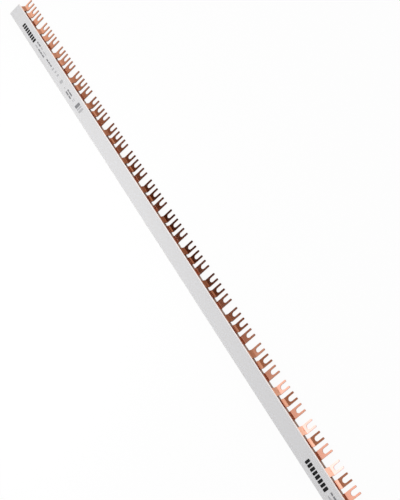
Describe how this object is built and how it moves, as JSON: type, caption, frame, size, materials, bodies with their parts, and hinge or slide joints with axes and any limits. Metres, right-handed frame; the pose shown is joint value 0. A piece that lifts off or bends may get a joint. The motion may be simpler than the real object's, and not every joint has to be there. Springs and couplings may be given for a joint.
{
  "type": "comb busbar",
  "caption": "Comb busbar: copper combs in a grey insulating profile, with open forks in one plane that link the screw terminals of a row of devices.",
  "frame": {"origin": "middle of the flat back face's plane, under the centre of the whole bar's outline", "axes": "+X along the bar from the first device to the last, +Y out of the comb side, the way the forks point, +Z from the flat back to the wide front face"},
  "size_m": [0.99, 0.0312, 0.0072],
  "materials": {
    "housing": "light grey extruded plastic, satin",
    "copper": "bare rolled copper, bright and slightly brushed"
  },
  "bodies": {
    "root": {"housing_profile": "housing", "comb_l1": "copper", "comb_l2": "copper", "comb_l3": "copper"}
  },
  "joints": []
}
